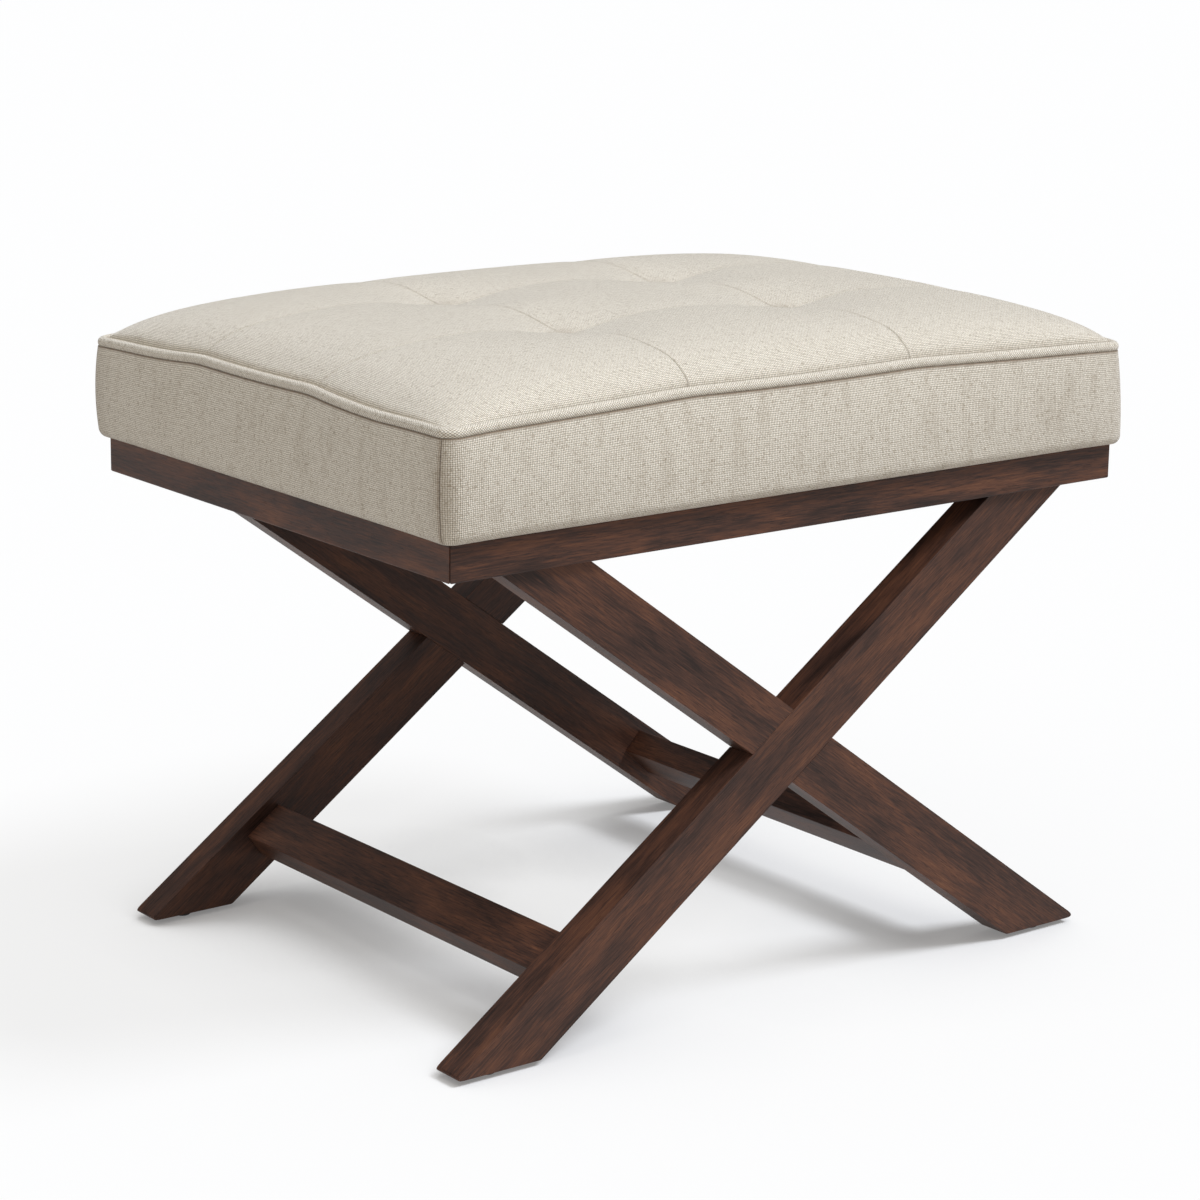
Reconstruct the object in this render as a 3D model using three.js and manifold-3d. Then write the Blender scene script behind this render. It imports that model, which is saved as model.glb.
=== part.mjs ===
// An upholstered stool on two crossed-leg frames. Millimetres, Z up.
// The origin is on the floor under the middle of the seat, X runs along the long side and -Y is the front.
import * as THREE from 'three';
import { mergeVertices } from 'three/addons/utils/BufferGeometryUtils.js';
import Module from 'manifold-3d';

const wasm = await Module();
wasm.setup();

// Fits: the gap round a glued or screwed piece, and how far a cutting body runs past what it cuts.
const seam = 0.3;
const overrun = 5;

// Seat frame: four flat rails, mitred at the corners.
const railLength = 594;
const railDepth = 430;
const railWidth = 45;
const railHeight = 25.5;
const railUnderside = 344.8;

// Loose tongue across each mitre.
const tongueLength = 36;
const tongueWidth = 24;
const tongueThickness = 4;

// Legs: the insets are from the end of the seat frame to the tip of the toe and of the head.
const legThickness = 25;
const legWidth = 42.6;
const legSetback = 5.3;
const toeInset = 7.3;
const headInset = 42.9;
const toeRadius = 3;
const heelRadius = 5;

// Stretchers, placed along the leg from its toe and across it from its upper edge.
const stretcherWidth = 34.7;
const stretcherThickness = 21.2;
const stretcherAlong = 118.1;
const stretcherAcross = 19.6;
// The right stretcher stands a little steeper than its leg.
const rightStretcherTurn = THREE.MathUtils.degToRad(7);
const stretcherDowelRadius = 5;
const stretcherDowelInLeg = 15;
const stretcherDowelInBar = 25;

// Glides: a round foot with a stem that is pressed up into the leg.
const glideHeight = 4;
const glideRadius = 6.5;
const glideRim = 1;
const glideStemRadius = 2.5;
const glideStemLength = 14;

// Each leg head has one screw, driven down through the rail, and one dowel.
const legScrewShare = 0.25;
const legDowelShare = 0.6;
const legScrewInLeg = 29;
const legDowelRadius = 4;
const legDowelLength = 26;
const legDowelInRail = 12;
const screwRadius = 2.1;
const screwHeadRadius = 4.2;
const screwHeadHeight = 2.6;
const screwTipLength = 4;

// Cushion: its board rests on the turned-under edge of the cover. The side is from the rails to the middle of the welt.
const cushionOverhang = 8.5;
const cushionCorner = 12;
const cloth = 2;
const clothTurnUnder = 34;
const lowerEdgeRadius = 8;
const boardThickness = 12;
const boardScrewInBoard = 8;
const boardScrewFromInside = 9;
const weltRadius = 3.8;
const cushionSideHeight = 73.7;
const foamClearance = 0.9;
const dustCoverThickness = 1;
const dustCoverCorner = 3;

// Crown of the seat, drawn down at four blind tufts and along the seams between them.
const crownRise = 35.7;
const crownPower = 3.95;
const crownBlend = 0.34;
const tuftDepth = 10.5;
const tuftReach = 40;
const seamDepth = 1.5;
const seamReach = 16;
const panelsAcross = 3;
const middlePanelFacets = 6;
const sidePanelFacets = 7;
const sideFacetCrowding = 1.5;

// Tuft ties: a twine from the crown to a toggle recessed under the board.
const tieRadius = 1.5;
const tieKnotRadius = 2.8;
const tieKnotHeight = 3;
const toggleRadius = 12;
const toggleThickness = 3;
const toggleRecess = 7;

// Round pieces and arcs.
const roundFacets = 16;
const smallFacets = 12;
const arcFacets = 5;

// Places that follow from the sizes above.
const railTop = railUnderside + railHeight;
const toeReach = railLength / 2 - toeInset;
const headReach = railLength / 2 - headInset;
const legRise = railUnderside - glideHeight;
const legReach = toeReach + headReach;
const legLean = Math.atan2(legRise, legReach) + Math.asin(legWidth / Math.hypot(legReach, legRise));
const legCut = legWidth / Math.sin(legLean);
const crossingHeight = glideHeight + (toeReach - legCut / 2) * Math.tan(legLean);
const legOuterFace = railDepth / 2 - legSetback;
const legInnerFace = legOuterFace - legThickness;
const legMiddle = legOuterFace - legThickness / 2;
const stretcherReach = toeReach - stretcherAlong * Math.cos(legLean) - stretcherAcross * Math.sin(legLean);
const stretcherHeight = glideHeight + stretcherAlong * Math.sin(legLean) - stretcherAcross * Math.cos(legLean);
const legScrewReach = headReach - legCut * (1 - legScrewShare);
const legDowelReach = headReach - legCut * (1 - legDowelShare);
const legScrewLength = railHeight + legScrewInLeg;
const clothBottom = railTop + seam;
const boardBottom = clothBottom + cloth + seam;
const boardTop = boardBottom + boardThickness;
const weltHeight = railTop + cushionSideHeight;
const boardScrewLength = boardBottom - railUnderside + boardScrewInBoard;
const boardScrewInset = railWidth - boardScrewFromInside;
const cushionLength = railLength + 2 * cushionOverhang;
const cushionDepth = railDepth + 2 * cushionOverhang;
const panelInset = 2 * weltRadius + seam;
const topLength = cushionLength - 2 * panelInset;
const topDepth = cushionDepth - 2 * panelInset;
const topCorner = cushionCorner - panelInset;
const tuftX = topLength / panelsAcross / 2;
const tuftY = topDepth / panelsAcross / 2;

const walnut = () => new THREE.MeshStandardMaterial({ color: 0x4a3430, roughness: 0.5, metalness: 0 });
const beech = () => new THREE.MeshStandardMaterial({ color: 0xc9a878, roughness: 0.6, metalness: 0 });
const plywood = () => new THREE.MeshStandardMaterial({ color: 0xc8ab80, roughness: 0.7, metalness: 0 });
const steel = () => new THREE.MeshStandardMaterial({ color: 0xb9b6a8, roughness: 0.35, metalness: 1 });
const nylon = () => new THREE.MeshStandardMaterial({ color: 0x141414, roughness: 0.55, metalness: 0 });
const linen = () => new THREE.MeshStandardMaterial({ color: 0xcfc6b6, roughness: 0.95, metalness: 0 });
const foamRubber = () => new THREE.MeshStandardMaterial({ color: 0xe8dfb8, roughness: 0.9, metalness: 0 });
const cambric = () => new THREE.MeshStandardMaterial({ color: 0x1c1c1e, roughness: 0.95, metalness: 0 });
const twine = () => new THREE.MeshStandardMaterial({ color: 0xd8cdb4, roughness: 0.9, metalness: 0 });

const stool = new THREE.Group();

function add(name, geometry, material) {
  const mesh = new THREE.Mesh(geometry, material);
  mesh.name = name;
  stool.add(mesh);
  return mesh;
}

// Turns a closed geometry into a solid that can be cut and joined.
function solid(geometry) {
  const bare = geometry.clone();
  bare.deleteAttribute('normal');
  bare.deleteAttribute('uv');
  const merged = mergeVertices(bare);
  return new wasm.Manifold(new wasm.Mesh({
    numProp: 3,
    vertProperties: new Float32Array(merged.attributes.position.array),
    triVerts: new Uint32Array(merged.index.array),
  }));
}

function geometryOf(body) {
  const mesh = body.getMesh();
  const geometry = new THREE.BufferGeometry();
  geometry.setAttribute('position', new THREE.BufferAttribute(mesh.vertProperties, 3));
  geometry.setIndex(new THREE.BufferAttribute(mesh.triVerts, 1));
  geometry.computeVertexNormals();
  return geometry;
}

// The geometry with each of the cutting geometries taken away.
function cut(geometry, ...cutters) {
  return geometryOf(cutters.reduce((body, cutter) => body.subtract(solid(cutter)), solid(geometry)));
}

function common(first, second) {
  return geometryOf(solid(first).intersect(solid(second)));
}

// An upright round bar or hole between two heights.
function uprightRound(radius, x, y, bottom, top, facets = smallFacets) {
  const bar = new THREE.CylinderGeometry(radius, radius, top - bottom, facets);
  bar.rotateX(Math.PI / 2);
  bar.translate(x, y, (bottom + top) / 2);
  return bar;
}

// A level round bar or hole that runs front to back.
function levelRound(radius, x, z, front, back) {
  const bar = new THREE.CylinderGeometry(radius, radius, back - front, smallFacets);
  bar.translate(x, (front + back) / 2, z);
  return bar;
}

// A profile of radius and height points turned about a vertical axis.
function turned(points, facets = roundFacets) {
  const profile = points.map(([radius, height]) => new THREE.Vector2(radius, height));
  const geometry = new THREE.LatheGeometry(profile, facets);
  geometry.rotateX(Math.PI / 2);
  return geometry;
}

function roundedRectangle(length, depth, radius) {
  const x = length / 2 - radius;
  const y = depth / 2 - radius;
  const shape = new THREE.Shape();
  shape.absarc(x, y, radius, 0, Math.PI / 2);
  shape.absarc(-x, y, radius, Math.PI / 2, Math.PI);
  shape.absarc(-x, -y, radius, Math.PI, Math.PI * 1.5);
  shape.absarc(x, -y, radius, Math.PI * 1.5, Math.PI * 2);
  shape.closePath();
  return shape;
}

// An upright slab with round corners between two heights.
function slab(length, depth, radius, bottom, top) {
  const shape = roundedRectangle(length, depth, radius);
  const geometry = new THREE.ExtrudeGeometry(shape, {
    depth: top - bottom, bevelEnabled: false, curveSegments: arcFacets,
  });
  geometry.translate(0, 0, bottom);
  return geometry;
}

// The same with its lower and upper edges rolled over.
function pillow(length, depth, corner, edge, bottom, top) {
  const shape = roundedRectangle(length, depth, corner);
  const geometry = new THREE.ExtrudeGeometry(shape, {
    depth: top - bottom - 2 * edge, curveSegments: arcFacets,
    bevelThickness: edge, bevelSize: edge, bevelOffset: -edge, bevelSegments: arcFacets,
  });
  geometry.translate(0, 0, bottom + edge);
  return geometry;
}

// A strip along X with mitred ends. Its outer edge is at y = -past, its inner edge at y = width.
function mitredStrip(length, width, past = 0) {
  const back = seam * Math.SQRT1_2;
  const outer = length / 2 - back + past;
  const inner = length / 2 - back - width;
  return new THREE.Shape([
    new THREE.Vector2(-outer, -past),
    new THREE.Vector2(outer, -past),
    new THREE.Vector2(inner, width),
    new THREE.Vector2(-inner, width),
  ]);
}

// A wood screw with a countersunk head at height 0, pointing down. A clearance makes its hole.
function screw(length, clearance = 0) {
  const shank = screwRadius + clearance;
  return turned([
    [0, -length - clearance],
    [shank, screwTipLength - length - clearance],
    [shank, -screwHeadHeight],
    [screwHeadRadius + clearance, clearance],
    [0, clearance],
  ], smallFacets);
}

function cornerTongue(clearance = 0) {
  return new THREE.BoxGeometry(
    tongueLength + 2 * clearance, tongueWidth + 2 * clearance, tongueThickness + 2 * clearance);
}

// A rail in its own frame: outer face on y = 0, inner face on y = railWidth, underside on z = 0.
function rail(length, carriesLegs) {
  const bar = new THREE.ExtrudeGeometry(mitredStrip(length, railWidth), {
    depth: railHeight, bevelEnabled: false,
  });
  const boardScrewHole = screw(boardScrewLength, seam);
  boardScrewHole.rotateX(Math.PI);
  boardScrewHole.translate(0, boardScrewInset, 0);
  const holes = [boardScrewHole];
  for (const end of [-1, 1]) {
    const slot = cornerTongue(seam);
    slot.rotateZ(-end * Math.PI / 4);
    slot.translate(end * (length - railWidth) / 2, railWidth / 2, railHeight / 2);
    holes.push(slot);
    if (carriesLegs) {
      const legScrewHole = screw(legScrewLength, seam);
      legScrewHole.translate(end * legScrewReach, legSetback + legThickness / 2, railHeight);
      const dowelTop = legDowelInRail + seam;
      holes.push(legScrewHole);
      holes.push(uprightRound(legDowelRadius + seam, end * legDowelReach, legSetback + legThickness / 2,
        -overrun, dowelTop));
    }
  }
  return cut(bar, ...holes);
}

function seatFrame() {
  const sides = [
    ['rail_front', railLength, 0, 0, -railDepth / 2, true],
    ['rail_right', railDepth, Math.PI / 2, railLength / 2, 0, false],
    ['rail_back', railLength, Math.PI, 0, railDepth / 2, true],
    ['rail_left', railDepth, -Math.PI / 2, -railLength / 2, 0, false],
  ];
  for (const [name, length, turn, x, y, carriesLegs] of sides) {
    const mesh = add(name, rail(length, carriesLegs), walnut());
    mesh.rotation.z = turn;
    mesh.position.set(x, y, railUnderside);
  }
  for (const [name, toRight, toBack] of corners('mitre_tongue')) {
    const mesh = add(name, cornerTongue(), plywood());
    mesh.rotation.z = toRight * toBack * Math.PI / 4;
    mesh.position.set(
      toRight * (railLength - railWidth) / 2, toBack * (railDepth - railWidth) / 2, railUnderside + railHeight / 2);
  }
}

// The four corners of the stool, each with a name and the signs of its X and Y.
function corners(name) {
  return [
    [`${name}_front_left`, -1, -1],
    [`${name}_front_right`, 1, -1],
    [`${name}_back_left`, -1, 1],
    [`${name}_back_right`, 1, 1],
  ];
}

// A closed outline whose listed corners are rounded, each given as a point and a radius.
function roundedOutline(points) {
  const shape = new THREE.Shape();
  points.forEach(([corner, radius], index) => {
    const before = points[(index + points.length - 1) % points.length][0];
    const after = points[(index + 1) % points.length][0];
    const toBefore = before.clone().sub(corner).normalize();
    const toAfter = after.clone().sub(corner).normalize();
    const reach = radius / Math.tan(Math.acos(toBefore.dot(toAfter)) / 2);
    const start = corner.clone().addScaledVector(toBefore, reach);
    const end = corner.clone().addScaledVector(toAfter, reach);
    if (index === 0) shape.moveTo(start.x, start.y);
    else shape.lineTo(start.x, start.y);
    if (radius > 0) shape.quadraticCurveTo(corner.x, corner.y, end.x, end.y);
  });
  shape.closePath();
  return shape;
}

// The leg seen from the front: level cuts at foot and head, toe and heel eased. The foot is on the side of footSide.
function legOutline(footSide) {
  const at = (x, z) => new THREE.Vector2(-footSide * x, z);
  return roundedOutline([
    [at(-toeReach, glideHeight), toeRadius],
    [at(legCut - toeReach, glideHeight), heelRadius],
    [at(headReach, railUnderside), 0],
    [at(headReach - legCut, railUnderside), 0],
  ]);
}

// The bar of space that the crossing leg takes in half the thickness of this one.
function lapNotch(footSide, fromY, toY) {
  const notch = new THREE.BoxGeometry(legReach, toY - fromY, legWidth + 2 * seam);
  notch.rotateY(footSide * legLean);
  notch.translate(0, (fromY + toY) / 2, crossingHeight);
  return notch;
}

// A leg whose foot is on the side of footSide, in the front (-1) or back (1) frame.
// The leg that runs through on the outer face is notched on its inner half, and the other the other way round.
function leg(footSide, frameSide, throughOutside) {
  const blank = new THREE.ExtrudeGeometry(legOutline(footSide), {
    depth: legThickness, bevelEnabled: false, curveSegments: arcFacets,
  });
  blank.rotateX(Math.PI / 2);
  blank.translate(0, frameSide * legMiddle + legThickness / 2, 0);
  const notchSide = throughOutside ? -frameSide : frameSide;
  const lapFace = frameSide * legMiddle - notchSide * seam / 2;
  const openFace = frameSide * legMiddle + notchSide * (legThickness / 2 + overrun);
  const foot = footSide * (toeReach - legCut / 2);
  const screwReach = -footSide * legScrewReach;
  const dowelReach = -footSide * legDowelReach;
  const legY = frameSide * legMiddle;
  const boreEnd = frameSide * (legInnerFace + stretcherDowelInLeg + seam);
  const boreStart = frameSide * (legInnerFace - overrun);
  return cut(
    blank,
    lapNotch(-footSide, Math.min(lapFace, openFace), Math.max(lapFace, openFace)),
    uprightRound(glideStemRadius + seam, foot, legY, 0, glideHeight + glideStemLength + seam),
    uprightRound(screwRadius + seam, screwReach, legY, railUnderside - legScrewInLeg - seam, railTop),
    uprightRound(legDowelRadius + seam, dowelReach, legY,
      railUnderside + legDowelInRail - legDowelLength - seam, railTop),
    levelRound(stretcherDowelRadius + seam, footSide * stretcherReach, stretcherHeight,
      Math.min(boreStart, boreEnd), Math.max(boreStart, boreEnd)),
  );
}

function crossedLegs() {
  for (const [frame, frameSide] of [['front', -1], ['back', 1]]) {
    add(`leg_${frame}_foot_left`, leg(-1, frameSide, true), walnut());
    add(`leg_${frame}_foot_right`, leg(1, frameSide, false), walnut());
  }
}

function headFixings() {
  for (const [name, toRight, toBack] of corners('head_screw')) {
    add(name, screw(legScrewLength), steel()).position.set(
      toRight * legScrewReach, toBack * legMiddle, railTop);
  }
  for (const [name, toRight, toBack] of corners('head_dowel')) {
    const bottom = railUnderside + legDowelInRail - legDowelLength;
    add(name, uprightRound(legDowelRadius, toRight * legDowelReach, toBack * legMiddle, bottom,
      bottom + legDowelLength), beech());
  }
}

// Two rails between the front and back frames, each held by a dowel at either end.
function stretchers() {
  const length = 2 * (legInnerFace - seam);
  const boreDepth = stretcherDowelInBar + seam;
  for (const [side, footSide, turn] of [['left', -1, 0], ['right', 1, rightStretcherTurn]]) {
    const bar = cut(
      new THREE.BoxGeometry(stretcherWidth, length, stretcherThickness),
      levelRound(stretcherDowelRadius + seam, 0, 0, -length / 2 - overrun, boreDepth - length / 2),
      levelRound(stretcherDowelRadius + seam, 0, 0, length / 2 - boreDepth, length / 2 + overrun),
    );
    const mesh = add(`stretcher_${side}`, bar, walnut());
    mesh.rotation.y = footSide * (legLean + turn);
    mesh.position.set(footSide * stretcherReach, 0, stretcherHeight);
    for (const [frame, frameSide] of [['front', -1], ['back', 1]]) {
      const inner = frameSide * (legInnerFace - stretcherDowelInBar);
      const outer = frameSide * (legInnerFace + stretcherDowelInLeg);
      add(`stretcher_dowel_${frame}_${side}`, levelRound(stretcherDowelRadius, footSide * stretcherReach,
        stretcherHeight, Math.min(inner, outer), Math.max(inner, outer)), beech());
    }
  }
}

function glides() {
  for (const [name, toRight, toBack] of corners('glide')) {
    const glide = turned([
      [0, 0],
      [glideRadius - glideRim, 0],
      [glideRadius, glideRim],
      [glideRadius, glideHeight],
      [glideStemRadius, glideHeight],
      [glideStemRadius, glideHeight + glideStemLength],
      [0, glideHeight + glideStemLength],
    ]);
    add(name, glide, nylon()).position.set(toRight * (toeReach - legCut / 2), toBack * legMiddle, 0);
  }
}

// Height of the finished top of the seat over a point.
function crown(x, y) {
  const fall = (share) => 1 - Math.min(1, Math.abs(share)) ** crownPower;
  const rise = crownRise * (fall(2 * x / topLength) * fall(2 * y / topDepth)) ** crownBlend;
  const dip = (distance, reach) => Math.exp(-((distance / reach) ** 2));
  const fromSeamX = Math.abs(x) - tuftX;
  const fromSeamY = Math.abs(y) - tuftY;
  const tuft = tuftDepth * dip(Math.hypot(fromSeamX, fromSeamY), tuftReach);
  const valley = seamDepth * Math.max(dip(fromSeamX, seamReach), dip(fromSeamY, seamReach));
  const edgeShare = rise / crownRise;
  return weltHeight + rise - edgeShare * (tuft + valley);
}

// Spreads the facets' even edges over a side: even on the middle panel, crowded towards the welt on the outer two.
function facetEdge(place, half) {
  const middleShare = middlePanelFacets / (middlePanelFacets + 2 * sidePanelFacets);
  const share = Math.min(1, Math.abs(place) / half);
  if (share <= middleShare) return place / middleShare / panelsAcross;
  const toWelt = 1 - ((1 - share) / (1 - middleShare)) ** sideFacetCrowding;
  return Math.sign(place) * half * (1 + (panelsAcross - 1) * toWelt) / panelsAcross;
}

// A block on the board whose top face lies a drop below the crown.
function crownedBlock(drop) {
  const facets = middlePanelFacets + 2 * sidePanelFacets;
  const block = new THREE.BoxGeometry(topLength, topDepth, crownRise, facets, facets);
  const places = block.attributes.position;
  for (let index = 0; index < places.count; index += 1) {
    const x = facetEdge(places.getX(index), topLength / 2);
    const y = facetEdge(places.getY(index), topDepth / 2);
    const isTop = places.getZ(index) > 0;
    places.setXYZ(index, x, y, isTop ? crown(x, y) - drop : boardTop);
  }
  return block;
}

// The round-cornered column that the top of the seat fills inside the welt.
function seatColumn() {
  return slab(topLength, topDepth, topCorner, boardTop - overrun, weltHeight + 2 * crownRise);
}

// The top of the cover is sewn from nine panels, three by three, whose seams cross at the tufts.
function topPanels() {
  const skin = common(cut(crownedBlock(0), crownedBlock(cloth)), seatColumn());
  const panelLength = topLength / panelsAcross;
  const panelDepth = topDepth / panelsAcross;
  ['front', 'centre', 'back'].forEach((row, rowIndex) => {
    ['left', 'middle', 'right'].forEach((column, columnIndex) => {
      const cell = new THREE.BoxGeometry(panelLength - seam, panelDepth - seam, 2 * weltHeight);
      cell.translate((columnIndex - 1) * panelLength, (rowIndex - 1) * panelDepth, weltHeight);
      add(`top_panel_${row}_${column}`, common(skin, cell), linen());
    });
  });
}

function foamCore() {
  const holes = tuftPlaces('').map(([, x, y]) => uprightRound(tieRadius + seam, x, y, boardTop - overrun,
    weltHeight + 2 * crownRise));
  const block = common(crownedBlock(cloth + foamClearance), seatColumn());
  add('foam_core', cut(block, ...holes), foamRubber());
}

// The side of the cover: four strips that meet at the corner seams and turn under the board.
function boxing() {
  const top = weltHeight - weltRadius - seam;
  const over = top + 2 * lowerEdgeRadius;
  const outside = pillow(cushionLength, cushionDepth, cushionCorner, lowerEdgeRadius, clothBottom, over);
  const inside = pillow(cushionLength - 2 * cloth, cushionDepth - 2 * cloth, cushionCorner - cloth,
    lowerEdgeRadius - cloth, clothBottom + cloth, over);
  const opening = slab(cushionLength - 2 * clothTurnUnder, cushionDepth - 2 * clothTurnUnder, cushionCorner,
    clothBottom - overrun, boardTop);
  const ring = cut(outside, inside, opening);
  const sides = [
    ['boxing_front', cushionLength, 0, 0, -cushionDepth / 2],
    ['boxing_right', cushionDepth, Math.PI / 2, cushionLength / 2, 0],
    ['boxing_back', cushionLength, Math.PI, 0, cushionDepth / 2],
    ['boxing_left', cushionDepth, -Math.PI / 2, -cushionLength / 2, 0],
  ];
  for (const [name, length, turn, x, y] of sides) {
    const wedge = new THREE.ExtrudeGeometry(mitredStrip(length, clothTurnUnder + overrun, overrun), {
      depth: top - clothBottom + overrun, bevelEnabled: false,
    });
    wedge.rotateZ(turn);
    wedge.translate(x, y, clothBottom - overrun);
    add(name, common(ring, wedge), linen());
  }
}

// The welt: a cord in cloth round the top edge, from four straight runs and four quarter rings.
function welt() {
  const turnRadius = cushionCorner - weltRadius;
  const reachX = cushionLength / 2 - cushionCorner;
  const reachY = cushionDepth / 2 - cushionCorner;
  const parts = [];
  for (const side of [-1, 1]) {
    const long = new THREE.CylinderGeometry(weltRadius, weltRadius, 2 * reachX, smallFacets);
    long.rotateZ(Math.PI / 2);
    long.translate(0, side * (reachY + turnRadius), weltHeight);
    const short = new THREE.CylinderGeometry(weltRadius, weltRadius, 2 * reachY, smallFacets);
    short.translate(side * (reachX + turnRadius), 0, weltHeight);
    parts.push(long, short);
  }
  for (const [, toRight, toBack] of corners('welt')) {
    const ring = new THREE.TorusGeometry(turnRadius, weltRadius, smallFacets, 4 * arcFacets);
    const quarter = new THREE.BoxGeometry(cushionCorner, cushionCorner, 3 * weltRadius);
    quarter.translate(toRight * cushionCorner / 2, toBack * cushionCorner / 2, 0);
    const bend = common(ring, quarter);
    bend.translate(toRight * reachX, toBack * reachY, weltHeight);
    parts.push(bend);
  }
  const loop = parts.map(solid).reduce((whole, part) => whole.add(part));
  add('welt', geometryOf(loop), linen());
}

function tuftPlaces(name) {
  return corners(name).map(([full, toRight, toBack]) => [full, toRight * tuftX, toBack * tuftY]);
}

function seatBoard() {
  const inset = cloth + lowerEdgeRadius;
  const board = slab(cushionLength - 2 * inset, cushionDepth - 2 * inset, cushionCorner, boardBottom, boardTop);
  const holes = [];
  for (const [, x, y] of tuftPlaces('')) {
    holes.push(uprightRound(toggleRadius + seam, x, y, boardBottom - overrun, boardBottom + toggleRecess, roundFacets));
    holes.push(uprightRound(tieRadius + seam, x, y, boardBottom, boardTop + overrun));
  }
  for (const [, , , x, y] of boardScrewPlaces()) {
    holes.push(uprightRound(screwRadius + seam, x, y, boardBottom - overrun,
      boardBottom + boardScrewInBoard + seam));
  }
  add('seat_board', cut(board, ...holes), plywood());
}

// One screw up through the middle of each rail into the board.
function boardScrewPlaces() {
  const reachX = railLength / 2 - boardScrewInset;
  const reachY = railDepth / 2 - boardScrewInset;
  return [['front', 0, -1], ['right', 1, 0], ['back', 0, 1], ['left', -1, 0]].map(
    ([side, toRight, toBack]) => [side, toRight, toBack, toRight * reachX, toBack * reachY]);
}

function boardScrews() {
  for (const [side, , , x, y] of boardScrewPlaces()) {
    const mesh = add(`board_screw_${side}`, screw(boardScrewLength), steel());
    mesh.rotation.x = Math.PI;
    mesh.position.set(x, y, railUnderside);
  }
}

function tuftTies() {
  const toggleTop = boardBottom + toggleRecess - seam;
  const toggleBottom = toggleTop - toggleThickness;
  for (const [name, x, y] of tuftPlaces('tuft_toggle')) {
    add(name, cut(
      uprightRound(toggleRadius, x, y, toggleBottom, toggleTop, roundFacets),
      uprightRound(tieRadius + seam, x, y, toggleBottom - overrun, toggleTop + overrun),
    ), nylon());
  }
  for (const [name, x, y] of tuftPlaces('tuft_tie')) {
    const knotTop = toggleBottom - seam;
    const top = crown(x, y) - cloth - seam;
    add(name, turned([
      [0, knotTop - tieKnotHeight],
      [tieKnotRadius, knotTop - tieKnotHeight / 2],
      [tieRadius, knotTop],
      [tieRadius, top],
      [0, top],
    ], smallFacets), twine()).position.set(x, y, 0);
  }
}

// Thin cloth that closes the underside of the board between the rails.
function dustCover() {
  const inset = railWidth + seam;
  const top = boardBottom - seam;
  const sheet = slab(railLength - 2 * inset, railDepth - 2 * inset, dustCoverCorner, top - dustCoverThickness, top);
  add('dust_cover', sheet, cambric());
}

seatFrame();
crossedLegs();
headFixings();
stretchers();
glides();
seatBoard();
boardScrews();
dustCover();
foamCore();
topPanels();
boxing();
welt();
tuftTies();

export default stool;
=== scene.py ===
import math
from functools import partial

import bmesh
import bpy
import numpy as np
from bpy.props import FloatProperty, FloatVectorProperty, PointerProperty
from mathutils import Matrix, Vector


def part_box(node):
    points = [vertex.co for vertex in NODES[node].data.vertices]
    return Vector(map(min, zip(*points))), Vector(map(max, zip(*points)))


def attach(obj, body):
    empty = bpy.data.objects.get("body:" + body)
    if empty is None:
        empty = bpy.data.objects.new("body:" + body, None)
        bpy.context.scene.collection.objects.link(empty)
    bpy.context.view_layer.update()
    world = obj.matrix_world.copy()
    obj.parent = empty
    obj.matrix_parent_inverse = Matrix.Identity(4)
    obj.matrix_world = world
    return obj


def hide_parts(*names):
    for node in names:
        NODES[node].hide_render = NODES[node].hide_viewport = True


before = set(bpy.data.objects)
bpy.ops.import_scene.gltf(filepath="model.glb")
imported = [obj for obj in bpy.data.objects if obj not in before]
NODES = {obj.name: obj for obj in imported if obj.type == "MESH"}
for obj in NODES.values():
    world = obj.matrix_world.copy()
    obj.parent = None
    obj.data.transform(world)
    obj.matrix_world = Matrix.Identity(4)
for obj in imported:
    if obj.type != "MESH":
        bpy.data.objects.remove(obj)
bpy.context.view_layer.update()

bl_info = {
    "name": "X frame stool",
    "version": (1, 0, 0),
    "blender": (4, 5, 0),
    "location": "View3D > Sidebar > Stool",
    "description": "Dresses a crossed-leg stool: eased walnut, a sewn linen cushion and a plain studio",
    "category": "Object",
}

MM = 0.001

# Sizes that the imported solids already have.
WELT_LOW, WELT_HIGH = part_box("welt")
WELT_RADIUS = (WELT_HIGH.z - WELT_LOW.z) / 2
WELT_HEIGHT = (WELT_HIGH.z + WELT_LOW.z) / 2
HALF_LENGTH, HALF_DEPTH = WELT_HIGH.x, WELT_HIGH.y
TOP_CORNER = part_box("top_panel_front_left")[0]
TOP_HALF_LENGTH, TOP_HALF_DEPTH = -TOP_CORNER.x, -TOP_CORNER.y
BOARD_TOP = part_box("seat_board")[1].z
STRIP_LOW, STRIP_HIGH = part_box("boxing_front")
CLOTH_BOTTOM, BOXING_TOP = STRIP_LOW.z, STRIP_HIGH.z
TURN_UNDER = STRIP_HIGH.y - STRIP_LOW.y
TUFT_LOW, TUFT_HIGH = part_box("tuft_toggle_back_right")
SEAM_X = (TUFT_LOW.x + TUFT_HIGH.x) / 2
SEAM_Y = (TUFT_LOW.y + TUFT_HIGH.y) / 2

WALNUT_BOARDS = [name for name in NODES
                 if name.startswith(("rail_", "leg_", "stretcher_left", "stretcher_right"))]
SIDES = ("front", "right", "back", "left")

# Distances between points of the cover, away from its seams.
PANEL_STEP, STRIP_STEP = 4.5 * MM, 5 * MM
CORD_SIDES, CORD_STEPS = 14, 96
# Coarse cells of the settling cover, about 9 mm wide. The seams fall on whole cells.
CELL = 9 * MM
CELL_COLUMNS, CELL_ROWS, SIDE_CELL_ROWS = 66, 48, 8
SETTLING_FRAMES = 20
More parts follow.
